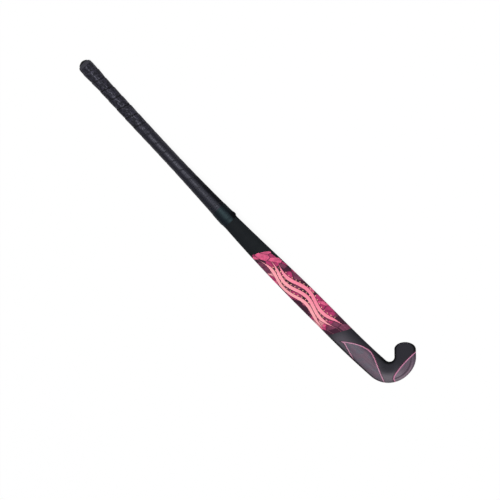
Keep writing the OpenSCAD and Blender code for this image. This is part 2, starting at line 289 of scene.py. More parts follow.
class StickForm:
    """The stick's outside at every place, worked out from its sizes."""

    def __init__(self, scene):
        s = self.sizes = scene.stick_sizes
        g = self.grip = scene.grip_sizes
        self.level_x = s.stick_length - s.level_length
        self.flare_end = s.stick_length - s.blade_length
        self.bend_x = s.stick_length - s.crook_radius - s.bottom_width
        self.lead_turn = math.atan(2 * s.head_lead / s.lead_length)
        bend_radius = s.crook_radius + s.bend_width / 2
        toe_radius = s.crook_radius + s.toe_width / 2
        self.lead_end = self.bend_x + bend_radius * math.sin(self.lead_turn)
        self.bend_y = s.head_lead + bend_radius * math.cos(self.lead_turn)
        self.toe_x = self.bend_x + toe_radius * math.sin(s.head_turn)
        self.toe_y = self.bend_y - toe_radius * math.cos(s.head_turn)
        self.layers_x = g.cap_dome + g.bond
        self.build_up_x = self.layers_x + g.build_up_full
        self.build_up_end = self.build_up_x + g.build_up_taper
        crest_share = 1 - (1 - g.cap_dome / s.bow_crest) ** s.bow_curve
        self.butt_lift = (self.grip_out(g.cap_dome) - s.bow * crest_share) / (1 - crest_share)

    def build_out(self, x):
        """Height of the build-up ring."""
        return self.grip.build_up * (1 - unit(self.build_up_x, self.build_up_end, x))

    def underlay_out(self, x):
        """Height of the underside of the cushion layer above the bare handle."""
        return self.build_out(x) + 2 * self.grip.bond

    def tape_out(self, x):
        """Height of the underside of the grip tape above the bare handle."""
        return self.underlay_out(x) + self.grip.underlay + self.grip.bond

    def grip_out(self, x):
        """Height of the outside of the grip tape above the bare handle."""
        return self.tape_out(x) + self.grip.tape_thickness

    def lift(self, x):
        """Height of the playing face above the ground."""
        s = self.sizes
        if x < s.bow_crest:
            return mix(self.butt_lift, s.bow, 1 - (1 - x / s.bow_crest) ** s.bow_curve)
        return s.bow * (1 - smooth(s.bow_crest, self.level_x, x))

    def shaft_station(self, x):
        """The section at a distance from the butt."""
        s = self.sizes
        spread = smooth(s.flare_start, self.flare_end, x)
        lead = unit(self.lead_end - s.lead_length, self.lead_end, x)
        near_head = smooth(0, 1, lead)
        heading = math.atan(2 * s.head_lead * lead / s.lead_length)
        width = mix(mix(s.handle_width, s.blade_width, spread), s.bend_width, near_head)
        shaft_thickness = mix(s.handle_thickness, s.blade_thickness, spread)
        thickness = mix(shaft_thickness, s.head_thickness, near_head)
        flatness = smooth(s.flare_start, s.face_full, x)
        return Station(x, s.head_lead * lead**2, heading, width, thickness, self.lift(x), flatness, 0)

    def bend_station(self, turn):
        """The section where the head has turned by an angle."""
        s = self.sizes
        narrowing = mix(s.bend_width, s.bottom_width, smooth(self.lead_turn, math.pi / 2, turn))
        width = mix(narrowing, s.toe_width, smooth(math.pi / 2, s.head_turn, turn))
        radius = s.crook_radius + width / 2
        thickness = mix(s.head_thickness, s.toe_thickness, smooth(self.lead_turn, s.head_turn, turn))
        x = self.bend_x + radius * math.sin(turn)
        y = self.bend_y - radius * math.cos(turn)
        return Station(x, y, turn, width, thickness, 0, 1, 0)

    def toe_station(self, on, tip=0):
        """The section at a distance along the toe, or in its rounded end at a tip angle."""
        s = self.sizes
        x = self.toe_x + on * math.cos(s.head_turn)
        y = self.toe_y + on * math.sin(s.head_turn)
        return Station(x, y, s.head_turn, s.toe_width, s.toe_thickness, 0, 1, tip)

    def stations(self, start):
        """Sections from a distance from the butt to the end of the toe."""
        s = self.sizes
        shaft_steps = round((self.lead_end - start) / SHAFT_STEP)
        bend_steps = round((s.head_turn - self.lead_turn) / BEND_STEP)
        shaft = np.linspace(start, self.lead_end, shaft_steps + 1)
        turns = np.linspace(self.lead_turn, s.head_turn, bend_steps)
        toe = np.linspace(0, s.toe_straight, TOE_STEPS)
        tips = np.linspace(0, math.pi / 2, TIP_STEPS)
        return [
            *(self.shaft_station(x) for x in shaft),
            *(self.bend_station(turn) for turn in turns[1:]),
            *(self.toe_station(on) for on in toe[1:]),
            *(self.toe_station(s.toe_straight, tip) for tip in tips[1:-1]),
        ]

    def section(self, station, inset, places):
        """Points of a section at shares of the way round, as sideways and upward distances."""
        s = self.sizes
        places = np.asarray(places) % 1
        shrink = math.cos(station.tip)
        half = (station.width / 2 - inset) * shrink
        run = min(s.edge_run - inset, half * EDGE_MOST)
        to_tip = (s.toe_end - inset) * (1 - math.sin(station.tip))
        curl = max(0, 1 - to_tip / (s.edge_run - inset)) if station.tip else 0
        bottom = mix(inset, s.edge_height, 1 - math.sqrt(1 - curl * curl))
        top = mix(s.edge_height, station.thickness - inset, shrink)
        middle = (top + bottom) / 2
        turn = 2 * math.pi * places
        across = half * np.cos(turn)
        oval_up = middle + (top - middle) * np.sin(turn)
        crown_up = s.edge_height + (top - s.edge_height) * np.sin(turn)
        from_side = np.minimum(places - HEEL_SIDE, 1 - places)
        edge = np.clip(from_side / EDGE_SHARE, 0, 1) * math.pi / 2
        flat = np.clip(np.abs(places - FACE_MIDDLE) / (1 - FACE_MIDDLE - EDGE_SHARE), 0, 1)
        face_across = np.sign(places - FACE_MIDDLE) * ((half - run) * flat + run * np.cos(edge))
        face_up = mix(s.edge_height, bottom, np.sin(edge))
        on_back = places <= HEEL_SIDE
        dee_across = np.where(on_back, across, face_across)
        dee_up = np.where(on_back, crown_up, face_up)
        oval = np.stack((across, oval_up), -1)
        return mix(oval, np.stack((dee_across, dee_up), -1), station.flatness)

    def placed(self, station, inset, points):
        """Points of a section in space."""
        on = (self.sizes.toe_end - inset) * math.sin(station.tip)
        ahead, aside = math.cos(station.heading), math.sin(station.heading)
        x = station.x + on * ahead - points[:, 0] * aside
        y = station.y + on * aside + points[:, 0] * ahead
        return np.stack((x, y, station.lift + points[:, 1]), -1) + np.array(BUTT)

    def ring(self, station, inset, places):
        """Points round a section, in space."""
        return self.placed(station, inset, self.section(station, inset, places))

    def toe_point(self, inset):
        """The end of the toe, at a depth inside the laminate."""
        end = self.toe_station(self.sizes.toe_straight, math.pi / 2)
        return self.placed(end, inset, np.array([[0, self.sizes.edge_height]]))[0]


def loft(name, rings, wrap, tips=None):
    """A closed mesh through rings of points: round and round, or from a first tip to a last one.

    wrap has a vector for each point and one more column than the rings, so that it counts on
    without a jump. It becomes the attribute "wrap" of the faces' corners.
    """
    rings = np.asarray(rings, float)
    wrap = np.asarray(wrap, float)
    rows, columns = rings.shape[:2]
    spans = rows if tips is None else rows - 1
    grid = np.meshgrid(np.arange(spans), np.arange(columns), indexing="ij")
    row, column = (numbers.ravel() for numbers in grid)
    quad_rows = np.stack((row, row, row + 1, row + 1), -1) % rows
    quad_columns = np.stack((column, column + 1, column + 1, column), -1)
    points = rings.reshape(-1, 3)
    faces = (quad_rows * columns + quad_columns % columns).tolist()
    values = [wrap[quad_rows, quad_columns].reshape(-1, 3)]
    if tips is not None:
        step = np.arange(columns)
        for tip, end, order in ((tips[0], 0, (1, 0)), (tips[1], rows - 1, (0, 1))):
            apex = np.full(columns, len(points))
            points = np.vstack((points, [tip]))
            corners = [step + order[0], step + order[1]]
            loops = [apex, *(end * columns + c % columns for c in corners)]
            faces += np.stack(loops, -1).tolist()
            middle = (wrap[end, step] + wrap[end, step + 1]) / 2
            values.append(np.stack((middle, *(wrap[end, c] for c in corners)), 1).reshape(-1, 3))
    mesh = bpy.data.meshes.new(name)
    mesh.from_pydata(points.tolist(), [], faces)
    attribute = mesh.attributes.new("wrap", "FLOAT_VECTOR", "CORNER")
    attribute.data.foreach_set("vector", np.vstack(values).astype(np.float32).ravel())
    mesh.shade_smooth()
    mesh.set_sharp_from_angle(angle=SHARP_ANGLE)
    return mesh


def path_lengths(points):
    """Distance of each point from the first, along the line through them."""
    steps = np.linalg.norm(np.diff(points, axis=0), axis=1)
    return np.concatenate(([0], np.cumsum(steps)))


def band_places(x):
    """Millimetres round the handle and along it, for a ring at a distance from the butt."""
    return np.stack((AROUND * HANDLE_GIRTH, np.full_like(AROUND, x / MM), np.zeros_like(AROUND)), -1)


def link(name, data):
    """Put a new object into the scene."""
    made = bpy.data.objects.new(name, data)
    bpy.context.scene.collection.objects.link(made)
    return made


def add_piece(name, mesh, material, slot, *nodes):
    """Put a piece into the scene in place of its CAD nodes."""
    piece = link(name, mesh)
    mesh.materials.append(material)
    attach(piece, "root")
    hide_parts(*nodes)


# Where most of a noise's values lie, and the upper part of that
NOISE_RANGE = (0.3, 0.7)
NOISE_HIGH = (0.35, 0.7)


def arithmetic(operation, reflected=False):
    """A method of Flow that adds a Math node, with the flow first or, reflected, last."""

    def method(self, *others):
        values = (*others, self) if reflected else (self, *others)
        return self.node("ShaderNodeMath", dict(enumerate(values)), operation=operation)

    return method


class Flow:
    """A shader value: arithmetic on it adds Math nodes, and node() adds any other node."""

    def __init__(self, tree, socket=None):
        self.tree = tree
        self.socket = socket

    def node(self, kind, sockets=None, output=0, **settings):
        """Add a node, with its settings first and then its sockets' values or links."""
        made = self.tree.nodes.new(kind)
        for key, value in settings.items():
            if key == "stops":
                set_stops(made.color_ramp, value)
            else:
                setattr(made, key, value)
        for key, value in (sockets or {}).items():
            socket = made.inputs[key]
            if isinstance(value, Flow):
                self.tree.links.new(value.socket, socket)
            elif socket.type == "RGBA":
                socket.default_value = (*value, 1)
            else:
                socket.default_value = value
        return Flow(self.tree, made.outputs[output] if len(made.outputs) else None)

    __add__ = arithmetic("ADD")
    __radd__ = arithmetic("ADD", reflected=True)
    __sub__ = arithmetic("SUBTRACT")
    __rsub__ = arithmetic("SUBTRACT", reflected=True)
    __mul__ = arithmetic("MULTIPLY")
    __rmul__ = arithmetic("MULTIPLY", reflected=True)
    __truediv__ = arithmetic("DIVIDE")
    __rtruediv__ = arithmetic("DIVIDE", reflected=True)
    __abs__ = arithmetic("ABSOLUTE")
    least = arithmetic("MINIMUM")
    most = arithmetic("MAXIMUM")
    soft_least = arithmetic("SMOOTH_MIN")
    sine = arithmetic("SINE")
    root = arithmetic("SQRT")
    cycle = arithmetic("FRACT")

    def to_middle(self, pitch):
        """Distance to the nearest middle of cells that follow each other at a pitch."""
        return abs((self / pitch).cycle() - 0.5) * pitch

    def rise(self, low, high, start=0, end=1):
        """A smooth change from one value at low to another at high."""
        sockets = {"Value": self, "From Min": low, "From Max": high, "To Min": start, "To Max": end}
        return self.node("ShaderNodeMapRange", sockets, interpolation_type="SMOOTHSTEP")

    def fall(self, low, high, start=1):
        """A smooth change from a value at low to 0 at high."""
        return self.rise(low, high, start, 0)

    def window(self, first, full, last, gone):
        """A mask that rises from first to full and falls from last to gone."""
        return self.rise(first, full) * self.fall(last, gone)

    def spread(self, start=0, end=1):
        """A smooth change from one value to another where most of a noise's values lie."""
        return self.rise(*NOISE_RANGE, start, end)

    def blend(self, first, second):
        """The first colour where this value is 0, and the second where it is 1."""
        return self.node("ShaderNodeMix", {0: self, 6: first, 7: second}, 2, data_type="RGBA")

    def parts(self):
        """The three parts of a vector or colour."""
        return [self.node("ShaderNodeSeparateXYZ", {0: self}, part) for part in range(3)]

    def vector(self, x, y, z=0):
        """A vector of three parts."""
        return self.node("ShaderNodeCombineXYZ", {0: x, 1: y, 2: z})

    def wrap(self):
        """The piece's own coordinates, from its mesh."""
        return self.node("ShaderNodeAttribute", None, "Vector", attribute_name="wrap")

    def place(self):
        """The place in the piece's own space, in metres."""
        return self.node("ShaderNodeTexCoord", None, "Object")

    def noise(self, place, scale, detail=2):
        """A soft noise from about 0 to 1."""
        return self.node("ShaderNodeTexNoise", {"Vector": place, "Scale": scale, "Detail": detail})

    def bump(self, height, distance):
        """A Normal from a height of 0 to 1 that stands a distance out of the surface."""
        return self.node("ShaderNodeBump", {"Distance": distance, "Height": height})


def set_stops(ramp, stops):
    """Give a ramp its stops, each a place and a colour, with hard steps between them."""
    ramp.interpolation = "CONSTANT"
    while len(ramp.elements) < len(stops):
        ramp.elements.new(1)
    for element, (position, tone) in zip(ramp.elements, stops):
        element.position = position
        element.color = (*tone, 1)


def new_material(name):
    """An empty node material and a flow in its tree."""
    material = bpy.data.materials.new(name)
    material.use_nodes = True
    material.node_tree.nodes.clear()
    return material, Flow(material.node_tree)


def surface(shade, sockets, painted_shade=None, painted_shade_tone=None):
    """Make the surface from its shader's sockets, and lay a matt dark tone over it as painted shade
    where the painted-shade mask is 1.
    """
    shader = shade.node("ShaderNodeBsdfPrincipled", sockets)
    if painted_shade is not None:
        matt = {"Base Color": painted_shade_tone, "Roughness": 0.8, "Specular IOR Level": 0.04}
        matt_shader = shade.node("ShaderNodeBsdfPrincipled", matt)
        shader = shade.node("ShaderNodeMixShader", {0: painted_shade, 1: shader, 2: matt_shader})
    shade.node("ShaderNodeOutputMaterial", {"Surface": shader})


# Lengths on the laminate are in millimetres: along the stick from the butt, round it from the middle
# of the back toward the toe side, and in plan from the butt and from the shaft's axis

# Facets of the print: lean, sides, irregularity and border, and where along the stick and by how
# much their own number, from 0 to 1, is raised or lowered
FACET_LEAN = math.radians(38)
FACET_LONG = 26
FACET_SHORT = 11
FACET_IRREGULARITY = 0.9
FACET_BORDER = (0.015, 0.05)
BRIGHT_START = (560, 625)
START_GAIN = (0.14, -0.16)
BRIGHT_END = (680, 715)
END_GAIN = 0.26
DARK_END = (730, 746)
END_LOSS = 0.45

# Numbers from which the facets have each of their colours, from the darkest to the palest
FACET_STOPS = (0, 0.22, 0.5, 0.74, 0.93)

# Folds in the facets: stretch along their two sides, scale, and how dark they are
FOLD_LONG = 2.1
FOLD_SHORT = 0.8
FOLD_SCALE = 1.4
FOLD_SHADE = 0.38

# Ribbons: distance from the print's ends, what each starts and ends later than the last, tapers,
# outlines, where they turn from one colour to the other, and what each wave lags the last
RIBBON_INSET = 22
RIBBON_LATER_START = 14
RIBBON_LATER_END = 10
RIBBON_TAPER = 40
RIBBON_TAIL = 38
RIBBON_OUTLINE = (0.9, 1.5)
RIBBON_SHOWS = (0.02, 0.08)
RIBBON_TURN = (-12, 14)
WAVE_LAG = 0.5

# Diamonds between the ribbons: pitch, softened edge, and how full the ribbons are where they show
DIAMOND_PITCH = 8.5
DIAMOND_EDGE = (1, 1.5)
DIAMOND_SHOWS = (0.5, 0.9)

# Edges of the print: a bowed and slanted start, a slanted end, an opening toe side, and facets
# that jut out of the start and of the toe side
START_BOW = 0.015
START_SLANT = 0.38
START_INSET = 4
START_JUT = 9
END_SLANT = 0.5
TOE_SIDE_OPENING = 0.2
TOE_SIDE_INSET = 6
TOE_SIDE_JUT = 10
SOFT_EDGE = (-0.3, 0.3)

# Lacquer of the head: where along the stick the head, its bottom and its toe start, and where round
# the stick the grey of the outer side, the grey of the bottom and the underside fade
HEAD_START = (745, 785)
BOTTOM_START = (865, 892)
TOE_START = (905, 938)
OUTER_SIDE = (-8, 20)
BOTTOM_SIDE = (-10, 4)
UNDERSIDE = (-6, 0)
BOTTOM_SHIFT = 8

# Painted shade along the head's rounded edges, a dark rim: where it is open at the bottom, where it
# starts on the inner side, how dark it is, what the opening and the toe panel take of it, what shows
# before its start, and its heel edge
RIM_OPEN = (862, 898, 945, 958)
RIM_INNER_START = (838, 880)
RIM_SHADE_STRENGTH = 0.95
RIM_OPENING = 0.75
RIM_TOE_LOSS = 0.5
RIM_INNER_LEFT = 0.2
RIM_HEEL_SHIFT = -0.03

# Leaf panel on the outer side of the head, in plan: its corners, the slopes and roundings of its
# edges, and the span, the dark margin and the line's tint at its knee
LEAF_TIP = (781.4, -12)
LEAF_KNEE = (846, 20.4)
LEAF_END = (905, -3.8)
LEAF_SPUR = (785.5, -7.7)
LEAF_ROOT = (795.5, -7.8)
LEAF_SPUR_RISE = 0.4
LEAF_ROOT_FALL = 0.31
LEAF_ROUNDING = 8
LEAF_ROOT_ROUNDING = 3
LEAF_KNEE_SPAN = (808, 828, 856, 880)
LEAF_KNEE_MARGIN = (2, 11)
LEAF_KNEE_TINT = 0.3

# Fill of the leaf panel: scales of its noises, where its patches are bluer, how dark its streaks and
# speckles are, how strong the painted shade toward its outer edge is, and where round the stick that
# shade fades
LEAF_SPECKLE_SCALE = 0.9
LEAF_PATCH_SCALE = 0.075
LEAF_BLUER = (0.44, 0.6)
LEAF_STREAKS = 0.4
LEAF_SPECKLES = 0.35
LEAF_EDGE_SHADE = 0.3
LEAF_SHADE_SIDE = (-24, 2)

# Panel round the toe, in plan: its line is a shallow curve across the head, with a rounded lower end
TOE_LINE_MIDDLE = (903.3, 75)
TOE_LINE_BEND = 0.0022
TOE_LINE_END = 12.8
TOE_LINE_ROUNDING = 18

# Streak and stripe of the toe panel: distances from the middle of the crook, how each fades to both
# sides, how strong it is, and spans along the stick; and its fine streaks
TOE_STREAK = 46
TOE_STREAK_FADE = (0.5, 2.6)
TOE_STREAK_DARK = 0.7
TOE_STRIPE = 50.4
TOE_STRIPE_FADE = (0.4, 1.8)
TOE_STRIPE_PALE = 0.9
TOE_STRIPE_SPAN = (914, 924, 932, 950)
TOE_LOW_SPAN = (914, 934)
TOE_LOW_PALE = 0.6
TOE_END_SPAN = (940, 975)
TOE_END_DARK = 0.8
TOE_FINE_STREAKS = (0.4, 0.7)
TOE_FINE_DARK = 0.4

# How a panel's fill sets in inside its edge, how its dark fringe does outside and how dark the two
# panels' fringes are, and a line's softness
PANEL_EDGE = (0, 0.6)
PANEL_FRINGE = (-3.6, -1.4)
LEAF_FRINGE = 0.65
TOE_FRINGE = 0.85
LINE_SOFTNESS = 0.25

# Sides of the laminate, from 1 in the middle of the back to -1 in the middle of the face
PRINT_SIDE = (-0.7, -0.6)
FACE_SIDE = (-0.9, -0.6)
RIM_SIDE = (0.42, 0.72)

# Waves of the playing face's weave in a millimetre, as an angle
WEAVE_TURN = 3.1

# Noises of the laminate: stretch of the panels' streaks along and round the stick, and the scales of
# the lacquer's clouds and grain
STREAK_ALONG = 0.012
STREAK_ROUND = 0.55
CLOUD_SCALE = 0.055
GRAIN_SCALE = 1.6

# Roughness of the lacquer, what the playing face has more, and the height of grain and weave
LACQUER_ROUGHNESS = (0.68, 0.76)
FACE_ROUGHER = 0.08
LACQUER_RELIEF = 0.04 * MM

Spot = namedtuple("Spot", "wrap along girth back x y")


def laminate_spot(shade):
    """A spot on the laminate: along it, round it, its side, and its place in plan."""
    wrap = shade.wrap()
    to_plan = {0: shade.place(), 1: (1 / MM,) * 3, 2: tuple(-c / MM for c in BUTT)}
    x, y, _ = shade.node("ShaderNodeVectorMath", to_plan, operation="MULTIPLY_ADD").parts()
    return Spot(wrap, *wrap.parts(), x, y)


def leaf_depth(x, y):
    """How far a place is inside the leaf panel, negative outside."""
    (tip_x, tip_y), (knee_x, knee_y), (end_x, end_y) = LEAF_TIP, LEAF_KNEE, LEAF_END
    share = ((x - tip_x) / (knee_x - tip_x)).least(1)
    arch = share * (2 - share) * (knee_y - tip_y) + tip_y
    fall = (x - knee_x) * ((end_y - knee_y) / (end_x - knee_x)) + knee_y
    upper = arch.soft_least(fall, LEAF_ROUNDING)
    spur_edge = (x - LEAF_SPUR[0]) * LEAF_SPUR_RISE + LEAF_SPUR[1]
    root_edge = LEAF_ROOT[1] - (x - LEAF_ROOT[0]) * LEAF_ROOT_FALL
    lower = spur_edge.soft_least(root_edge, LEAF_ROOT_ROUNDING)
    return (upper - y).least(y - lower)


def toe_panel_depth(x, y):
    """How far a place is inside the panel round the toe, negative outside."""
    from_middle = y - TOE_LINE_MIDDLE[1]
    outside = x - TOE_LINE_MIDDLE[0] - from_middle * from_middle * TOE_LINE_BEND
    return outside.soft_least(y - TOE_LINE_END, TOE_LINE_ROUNDING)


def line_mask(depth, tones):
    """The fine line along a panel's edge."""
    half = tones.line_width / MM / 2
    return abs(depth).fall(half - LINE_SOFTNESS, half + LINE_SOFTNESS)


def facet_colours(shade, spot, tones):
    """Folded-looking angular facets, brightest at the print's ends, and each one's own number."""
    lean_x, lean_y = math.cos(FACET_LEAN), math.sin(FACET_LEAN)
    first = (spot.along * lean_x + spot.girth * lean_y) / FACET_LONG
    second = (spot.girth * lean_x - spot.along * lean_y) / FACET_SHORT
    sockets = {"Vector": shade.vector(first, second), "Scale": 1, "Randomness": FACET_IRREGULARITY}
    cells = {"kind": "ShaderNodeTexVoronoi", "sockets": sockets, "voronoi_dimensions": "2D"}
    pick = shade.node(**cells, output="Color", feature="F1").parts()[0]
    border = shade.node(**cells, feature="DISTANCE_TO_EDGE")
    near_start = spot.along.rise(*BRIGHT_START, *START_GAIN)
    near_end = spot.along.rise(*BRIGHT_END, 0, END_GAIN) - spot.along.rise(*DARK_END, 0, END_LOSS)
    facet_tones = (tones.plum_dark, tones.plum, tones.magenta, tones.pink, tones.salmon)
    stops = list(zip(FACET_STOPS, facet_tones))
    plain = shade.node("ShaderNodeValToRGB", {0: pick + near_start + near_end}, stops=stops)
    fold = shade.noise(shade.vector(first * FOLD_LONG, second * FOLD_SHORT), FOLD_SCALE, 1)
    shaded = fold.rise(*NOISE_HIGH, 0, FOLD_SHADE).blend(plain, tones.plum_dark)
    return border.rise(*FACET_BORDER).blend(tones.plum_dark, shaded), pick


def ribbon_masks(spot, tones):
    """Masks of the wave ribbons, of their dark outlines and of the diamonds between them."""
    along, girth = spot.along, spot.girth
    width, step = tones.ribbon_width / MM, tones.ribbon_step / MM
    height, wave = tones.wave_height / MM, 2 * math.pi / (tones.wave_length / MM)
    first = tones.print_start / MM + RIBBON_INSET
    last = tones.print_end / MM - RIBBON_INSET
    masks = []
    for k in range(tones.ribbon_count):
        middle = (k - (tones.ribbon_count - 1) / 2) * step
        swing = ((along - first) * wave + WAVE_LAG * k).sine() * height + middle
        start, end = first + RIBBON_LATER_START * k, last + RIBBON_LATER_END * k
        taper = along.rise(start, start + RIBBON_TAPER)
        tail = along.fall(end - RIBBON_TAIL, end)
        away = abs(girth - swing) - taper * tail * (width / 2)
        outline = away.fall(*RIBBON_OUTLINE) * (taper * tail).rise(*RIBBON_SHOWS)
        from_diamond = (along - first).to_middle(DIAMOND_PITCH) + abs(girth - swing - step / 2)
        shows = taper.rise(*DIAMOND_SHOWS) * tail.rise(*DIAMOND_SHOWS)
        masks.append((away.fall(*SOFT_EDGE), outline, from_diamond.fall(*DIAMOND_EDGE) * shows))
    return [reduce(Flow.most, kind) for kind in zip(*masks)]


def print_mask(spot, pick, tones):
    """Where the print lies: slanted ends, a jagged toe side, and nothing on the playing face."""
    along, girth = spot.along, spot.girth
    start, end = tones.print_start / MM, tones.print_end / MM
    slant = girth * girth * START_BOW + girth * START_SLANT
    past_start = along - (slant + start + START_INSET) - pick * START_JUT
    before_end = end + girth * END_SLANT - along
    inside_toe = (along - start) * TOE_SIDE_OPENING + pick * TOE_SIDE_JUT + TOE_SIDE_INSET - girth
    edges = [edge.rise(*SOFT_EDGE) for edge in (past_start, before_end, inside_toe)]
    return reduce(Flow.__mul__, edges) * spot.back.rise(*PRINT_SIDE)


def lacquer_colours(spot, tones):
    """Black lacquer of the shaft, greyer on the outer side and the bottom of the head."""
    head = spot.along.rise(*HEAD_START)
    before_toe = spot.along.fall(*TOE_START)
    bottom = spot.along.rise(*BOTTOM_START) * before_toe
    outer = (spot.girth + BOTTOM_SHIFT * bottom).fall(*OUTER_SIDE)
    colours = head.blend(tones.lacquer, tones.toe_black)
    colours = (outer * head * before_toe).blend(colours, tones.charcoal)
    return (spot.girth.fall(*BOTTOM_SIDE) * bottom).blend(colours, tones.ash)


def print_layers(shade, spot, colours, tones):
    """The print of facets, ribbons and diamonds, laid over the lacquer's colours."""
    facets, pick = facet_colours(shade, spot, tones)
    ribbons, outlines, diamonds = ribbon_masks(spot, tones)
    ribbon = spot.girth.rise(*RIBBON_TURN).blend(tones.salmon, tones.rose)
    art = outlines.blend(facets, tones.plum_dark)
    art = diamonds.blend(art, tones.peach)
    art = ribbons.blend(art, ribbon)
    return print_mask(spot, pick, tones).blend(colours, art)


def leaf_layers(shade, spot, leaf, streak, colours, tones):
    """The leaf panel and its line, laid over the laminate's colours."""
    plan = shade.vector(spot.x, spot.y)
    speckle = shade.noise(plan, LEAF_SPECKLE_SCALE, 3)
    patches = shade.noise(plan, LEAF_PATCH_SCALE, 1)
    at_knee = spot.x.window(*LEAF_KNEE_SPAN)
    fill = patches.rise(*LEAF_BLUER).blend(tones.panel, tones.panel_slate)
    dark = streak.spread() * LEAF_STREAKS + speckle.rise(*NOISE_HIGH) * LEAF_SPECKLES
    # Painted shade: the leaf darker toward its outer edge, where the head curves away
    dark = dark + spot.girth.fall(*LEAF_SHADE_SIDE, LEAF_EDGE_SHADE)
    dark = dark.most(leaf.fall(*LEAF_KNEE_MARGIN) * at_knee)
    colours = leaf.rise(*PANEL_EDGE).blend(colours, dark.blend(fill, tones.panel_dark))
    line = (at_knee * LEAF_KNEE_TINT).blend(tones.line, tones.magenta)
    return line_mask(leaf, tones).blend(colours, line)


def toe_fill(spot, form, streak, tones):
    """Colours of the toe's panel: pale below, dark at the end, with streaks round the crook."""
    from_x, from_y = spot.x - form.bend_x / MM, spot.y - form.bend_y / MM
    from_crook = (from_x * from_x + from_y * from_y).root()
    fill = spot.along.fall(*TOE_LOW_SPAN, TOE_LOW_PALE).blend(tones.toe_panel, tones.toe_pale)
    dark = abs(from_crook - TOE_STREAK).fall(*TOE_STREAK_FADE, TOE_STREAK_DARK)
    dark = dark.most(streak.rise(*TOE_FINE_STREAKS, 0, TOE_FINE_DARK))
    dark = dark.most(spot.along.rise(*TOE_END_SPAN, 0, TOE_END_DARK))
    stripe = abs(from_crook - TOE_STRIPE).fall(*TOE_STRIPE_FADE, TOE_STRIPE_PALE)
    stripe = stripe * spot.along.window(*TOE_STRIPE_SPAN)
    return stripe.blend(dark.blend(fill, tones.toe_streak), tones.toe_stripe)


def painted_rim_shade(spot, on_toe):
    """Mask of the painted shade along the head's rounded edges: open at the bottom and weaker on the
    toe panel.
    """
    under = spot.girth.fall(*UNDERSIDE)
    heel_edge = under * spot.along.fall(*TOE_START) * RIM_HEEL_SHIFT
    open_edge = under * spot.along.window(*RIM_OPEN)
    inner_start = spot.along.rise(*RIM_INNER_START, RIM_INNER_LEFT, 1)
    rim = (spot.back + heel_edge).fall(*RIM_SIDE, RIM_SHADE_STRENGTH)
    rim = rim * (1 - RIM_OPENING * open_edge) * (1 - RIM_TOE_LOSS * on_toe)
    return rim * spot.along.rise(*HEAD_START) * under.most(inner_start)


def laminate_material(scene, form):
    """Satin black laminate with its print, head panels and fine lines."""
    tones = scene.print_settings
    material, shade = new_material("printed_laminate")
    spot = laminate_spot(shade)
    colours = print_layers(shade, spot, lacquer_colours(spot, tones), tones)
    leaf = leaf_depth(spot.x, spot.y)
    toe = toe_panel_depth(spot.x, spot.y)
    fringe = leaf.rise(*PANEL_FRINGE, 0, LEAF_FRINGE).most(toe.rise(*PANEL_FRINGE, 0, TOE_FRINGE))
    colours = fringe.blend(colours, tones.plum_dark)
    streak = shade.noise(shade.vector(spot.along * STREAK_ALONG, spot.girth * STREAK_ROUND), 1)
    colours = leaf_layers(shade, spot, leaf, streak, colours, tones)
    on_toe = toe.rise(*PANEL_EDGE)
    colours = on_toe.blend(colours, toe_fill(spot, form, streak, tones))
    # Painted shade: the head's rounded edges darkened to near black
    colours = painted_rim_shade(spot, on_toe).blend(colours, tones.rim_shade)
    colours = line_mask(toe, tones).blend(colours, tones.toe_line)
    cloud = shade.noise(spot.wrap, CLOUD_SCALE)
    grain = shade.noise(spot.wrap, GRAIN_SCALE, 3)
    weave = (spot.along * WEAVE_TURN).sine() * (spot.girth * WEAVE_TURN).sine()
    on_face = spot.back.fall(*FACE_SIDE)
    sockets = {
        "Base Color": colours,
        "Roughness": cloud.spread(*LACQUER_ROUGHNESS) + on_face * FACE_ROUGHER,
        "Specular IOR Level": 0.07,
        "Normal": shade.bump(grain * 0.5 + weave * on_face * 0.5, LACQUER_RELIEF),
    }
    surface(shade, sockets)
    return material


# Grip tape, in millimetres: pitch of its ribs and holes, a hole's edge as squares of its distance
# from the hole's middle, and where along the stick it changes
RIB_PITCH = 6.2
HOLE_PITCH = 4.2
HOLE_EDGE = (0.16, 0.4)
SEAM_START = (28, 58)
HAND_END = (150, 235)
ROUGH_START = (270, 400)
LOW_START = (300, 400)
SHADE_SIDE_START = (250, 380)

# Across the tape, as shares of its half width: its seam, with painted shade in the groove, and the
# shoulder of its upper edge, made paler as a painted highlight
SEAM_EDGE = (0.88, 0.94)
SHOULDER = (-0.92, -0.72)

# What is left of the upper half's mottling and of the seams' painted shade on the lower half, and of
# that shade at the butt
HAND_LEFT = 0.12
SEAM_LEFT = 0.12
SEAM_AT_BUTT = 0.2

# How much wear the tape shows where it is polished and everywhere, how strong the painted highlight on
# its shoulder is, and how dark the upper half and, as painted shade, the holes are
WORN_POLISH = 0.36
SHOULDER_HIGHLIGHT = 0.4
WORN_LEAST = 0.05
HAND_DARK = 0.85
HOLE_SHADE_TONE = 0.6

# Noises of the tape: scales of its pores and patches, the patches' stretch across it, how fast both
# change from turn to turn, and which patches are polished
PORE_SCALE = 0.9
PATCH_SCALE = 0.26
PATCH_STRETCH = 0.6
TURN_CHANGE = 0.2
POLISHED = (0.42, 0.6)

# Roughness of the tape, what its upper half and its lower end have more, and what polish takes
TAPE_ROUGHNESS = (0.42, 0.47)
HAND_ROUGHER = 0.26
LOW_ROUGHER = 0.08
POLISH_SMOOTHER = 0.28

# Relief of the tape's pores, patches, holes and ribs, as shares of a height
TAPE_RELIEF = 0.5 * MM
PORE_RELIEF = 0.3
PATCH_RELIEF = 2.4
HOLE_RELIEF = 0.3
RIB_RELIEF = 0.12

# Painted shade on the toe side, a matt black strip: its middle, and how it fades to both sides, as
# shares of the way round
SHADE_MIDDLE = 0.01
SHADE_EDGE = (0.1, 0.15)

